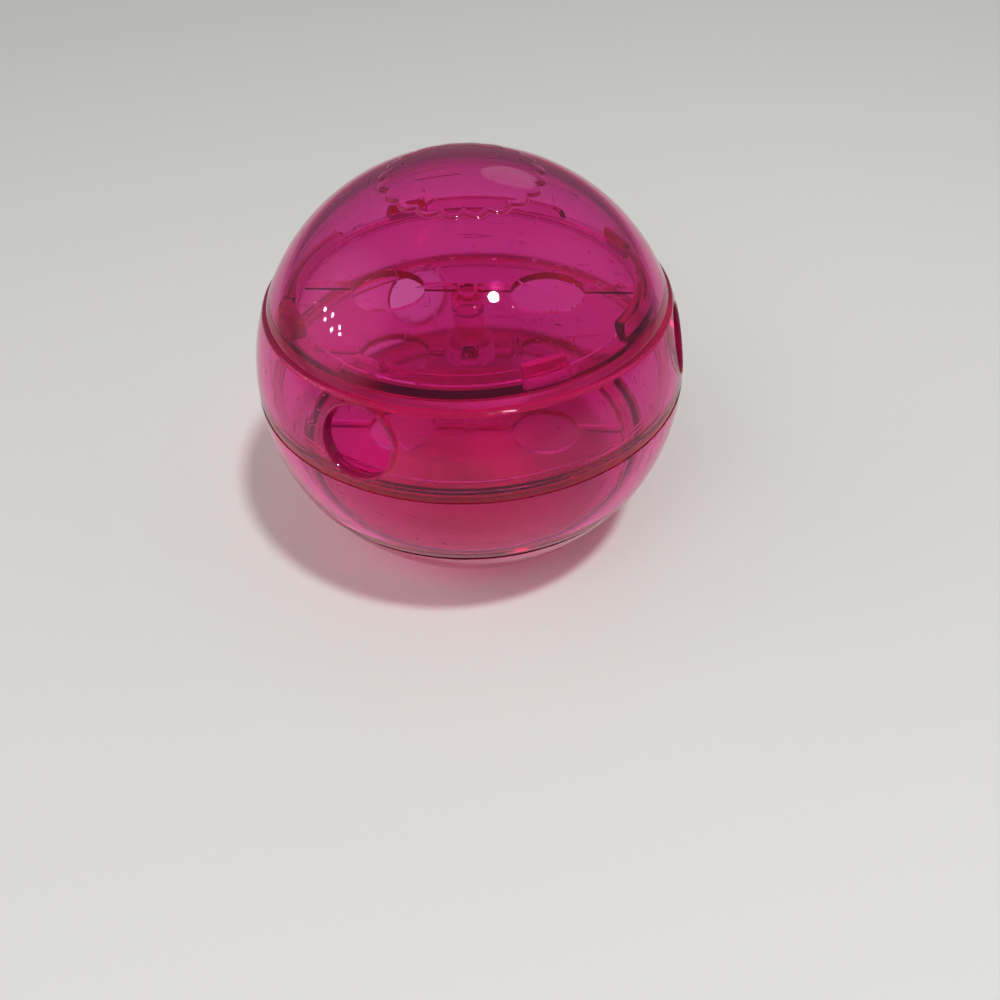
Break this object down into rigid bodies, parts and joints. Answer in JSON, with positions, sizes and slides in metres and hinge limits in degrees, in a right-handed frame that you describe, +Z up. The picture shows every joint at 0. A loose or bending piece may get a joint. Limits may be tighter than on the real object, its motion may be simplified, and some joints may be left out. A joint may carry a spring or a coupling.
{
  "type": "treat dispensing ball",
  "caption": "Hollow ball of clear pink plastic with stacked holed baffles inside, round side holes that drop treats as it rolls, a turning upper baffle and a lift-off cap.",
  "frame": {"origin": "centre of the flat foot under the bottom cap", "axes": "+Z up along the ball's axis through the crown; -Y is the front, with one dispensing hole at its left"},
  "size_m": [0.076, 0.076, 0.0747],
  "materials": {
    "clear_pink": "clear tinted gloss"
  },
  "bodies": {
    "base": {"bottom_cap": "clear_pink", "lower_baffle": "clear_pink", "lower_ring": "clear_pink", "middle_baffle": "clear_pink", "centre_post": "clear_pink", "upper_ring": "clear_pink"},
    "shutter": {"upper_baffle": "clear_pink", "shutter_ring": "clear_pink"},
    "cap": {"top_cap": "clear_pink"}
  },
  "joints": [
    {"name": "shutter_turn", "type": "hinge", "parent": "base", "child": "shutter", "pos_m": [0, 0, 0.03674], "axis": [0, 0, 1], "range_deg": [-90, 0]},
    {"name": "cap_lift", "type": "slide", "parent": "shutter", "child": "cap", "axis": [0, 0, 1], "range_m": [0, 0.05]}
  ]
}
